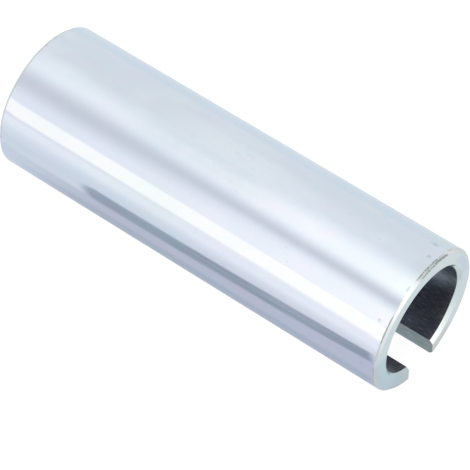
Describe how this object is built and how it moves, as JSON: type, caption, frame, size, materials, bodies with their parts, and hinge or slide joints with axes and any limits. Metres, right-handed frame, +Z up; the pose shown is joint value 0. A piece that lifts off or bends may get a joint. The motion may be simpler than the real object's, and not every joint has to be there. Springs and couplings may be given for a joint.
{
  "type": "bore reducer bushing",
  "caption": "Plain plated steel sleeve, slotted right through its wall from end to end, that slips on a thin shaft and fills a pulley or hub bored for a thicker one.",
  "frame": {"origin": "on the bore axis, midway between the two end faces", "axes": "+X along the bore, towards either end, which are alike; +Z up, with the slot facing -Z, so that the sleeve lies on the slot's two long edges; +Y across"},
  "size_m": [0.0762, 0.0254, 0.025],
  "materials": {
    "zinc_plated_steel": "bright zinc plate over ground steel, faintly blue; satin on the turned end faces and the milled slot, dull and dark inside the bore"
  },
  "bodies": {
    "root": {"sleeve": "zinc_plated_steel"}
  },
  "joints": []
}
